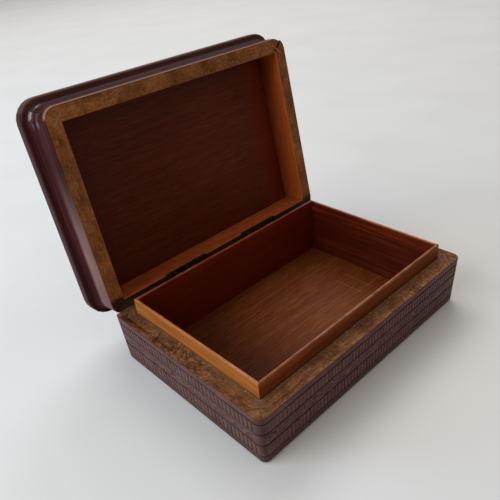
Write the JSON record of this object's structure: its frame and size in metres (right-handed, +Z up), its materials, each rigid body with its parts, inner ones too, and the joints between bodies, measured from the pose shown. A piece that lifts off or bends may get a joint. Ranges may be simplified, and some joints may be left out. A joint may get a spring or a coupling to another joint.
{
  "type": "hinged wooden puzzle box",
  "caption": "Shallow rectangular wooden box, standing open, with a raised liner, banded sides and a coved, overhanging lid whose top slides aside.",
  "frame": {"origin": "middle of the base's underside", "axes": "+X along the box's long side, +Y from its front to its hinges, +Z up"},
  "size_m": [0.1688, 0.1557, 0.14],
  "materials": {
    "stained_wood": "dull red-purple stain under worn lacquer",
    "spline_wood": "pale bare wood",
    "liner_wood": "satin orange-brown",
    "floor_wood": "satin mid-brown with fine scratches",
    "panel_wood": "satin dark red-brown",
    "runner_wood": "bare wood",
    "aged_brass": "dull and darkened",
    "dull_steel": "dull"
  },
  "bodies": {
    "base": {"base_wall_front": "stained_wood", "base_wall_back": "stained_wood", "base_wall_left": "stained_wood", "base_wall_right": "stained_wood", "base_spline_front_left": "spline_wood", "base_spline_front_right": "spline_wood", "base_spline_back_left": "spline_wood", "base_spline_back_right": "spline_wood", "bottom_panel": "floor_wood", "liner_board_front": "liner_wood", "liner_board_back": "liner_wood", "liner_board_left": "liner_wood", "liner_board_right": "liner_wood", "hinge_left_base_leaf": "aged_brass", "hinge_left_base_screw_a": "dull_steel", "hinge_left_base_screw_b": "dull_steel", "hinge_left_pin": "dull_steel", "hinge_right_base_leaf": "aged_brass", "hinge_right_base_screw_a": "dull_steel", "hinge_right_base_screw_b": "dull_steel", "hinge_right_pin": "dull_steel"},
    "lid": {"lid_rail_front": "stained_wood", "lid_rail_back": "stained_wood", "lid_rail_left": "stained_wood", "lid_rail_right": "stained_wood", "lid_spline_front_left": "spline_wood", "lid_spline_front_right": "spline_wood", "lid_spline_back_left": "spline_wood", "lid_spline_back_right": "spline_wood", "lid_inner_panel": "panel_wood", "hinge_left_lid_leaf": "aged_brass", "hinge_left_lid_screw_a": "dull_steel", "hinge_left_lid_screw_b": "dull_steel", "hinge_right_lid_leaf": "aged_brass", "hinge_right_lid_screw_a": "dull_steel", "hinge_right_lid_screw_b": "dull_steel"},
    "lid_top": {"lid_top": "stained_wood", "lid_top_runner_front": "runner_wood", "lid_top_runner_back": "runner_wood"}
  },
  "joints": [
    {"name": "lid_hinge", "type": "hinge", "parent": "base", "child": "lid", "pos_m": [0, 0.0544, 0.03015], "axis": [1, 0, 0], "range_deg": [0, 99.85]},
    {"name": "lid_top_slide", "type": "slide", "parent": "lid", "child": "lid_top", "axis": [1, 0, 0], "range_m": [0, 0.045]}
  ]
}
